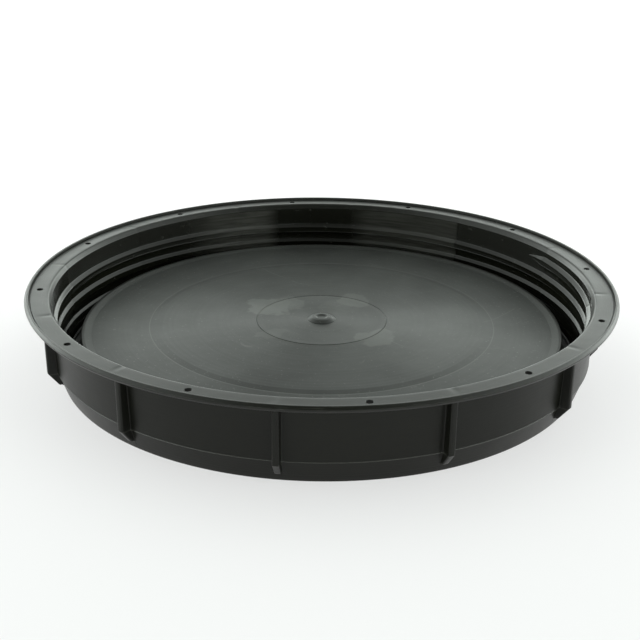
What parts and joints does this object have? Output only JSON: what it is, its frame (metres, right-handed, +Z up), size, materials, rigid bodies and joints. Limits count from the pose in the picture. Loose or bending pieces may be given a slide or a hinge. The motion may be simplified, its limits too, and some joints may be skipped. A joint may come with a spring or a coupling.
{
  "type": "screw lid of a wide-mouth chemical drum",
  "caption": "Round plastic screw lid of a wide-mouth chemical drum, lying upside down, with internal thread, ribbed skirt, drilled flange and a loose sealing ring in its moat.",
  "frame": {"origin": "on the lid's axis, in the plane that the upside-down lid rests on", "axes": "+Z up along the lid's axis, towards its open threaded side; +X to the right and -Y towards the viewer; the thread starts about 28 degrees anticlockwise from +X"},
  "size_m": [0.8058, 0.8058, 0.115],
  "materials": {
    "lid_plastic": "satin black moulded polyethylene with fine scuffs",
    "ring_rubber": "matt black rubber"
  },
  "bodies": {
    "lid": {"lid_moulding": "lid_plastic"},
    "ring": {"sealing_ring": "ring_rubber"}
  },
  "joints": [
    {"name": "ring_lift", "type": "slide", "parent": "lid", "child": "ring", "axis": [0, 0, 1], "range_m": [0, 0.15]}
  ]
}
